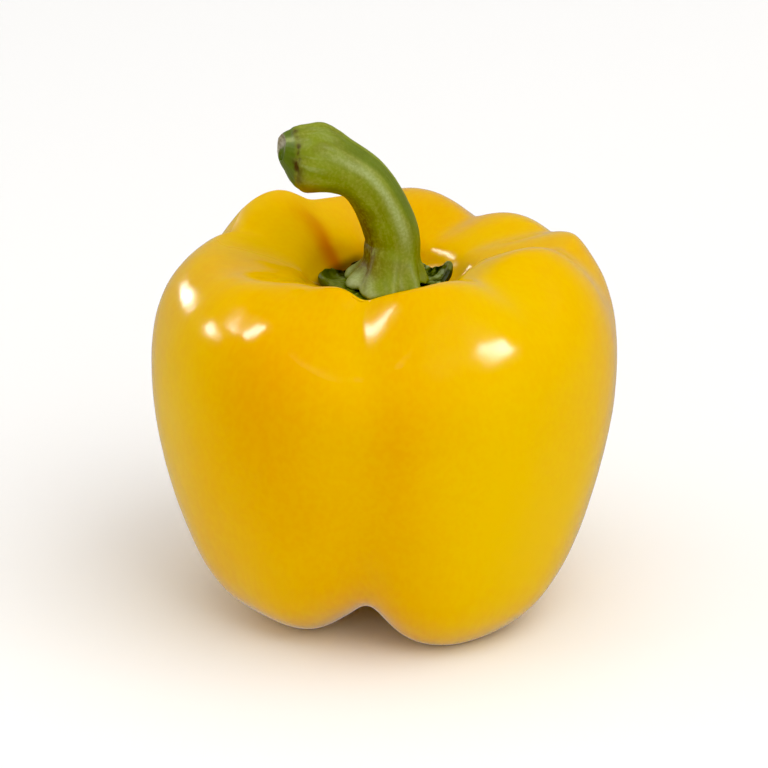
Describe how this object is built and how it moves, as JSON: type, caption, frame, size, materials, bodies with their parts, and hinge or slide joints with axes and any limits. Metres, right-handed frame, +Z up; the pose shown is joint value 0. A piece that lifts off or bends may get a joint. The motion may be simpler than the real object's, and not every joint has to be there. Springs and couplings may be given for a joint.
{
  "type": "bell pepper",
  "caption": "Whole yellow bell pepper standing on its lobes, with a green calyx and a thick stem that bends to one side.",
  "frame": {"origin": "on the surface that the pepper stands on, below the middle of the fruit", "axes": "+Z up from the blossom end to the stem; the stem bends over towards -X; -Y faces the viewer of the picture"},
  "size_m": [0.086, 0.083, 0.0929],
  "materials": {
    "yellow_skin": "smooth waxy yellow skin, glossy",
    "calyx_green": "wrinkled dark green leaf tissue, slightly waxy",
    "stem_green": "ribbed green stem, satin, brown scars at its swollen end"
  },
  "bodies": {
    "root": {"fruit": "yellow_skin", "calyx": "calyx_green", "stem": "stem_green"}
  },
  "joints": []
}
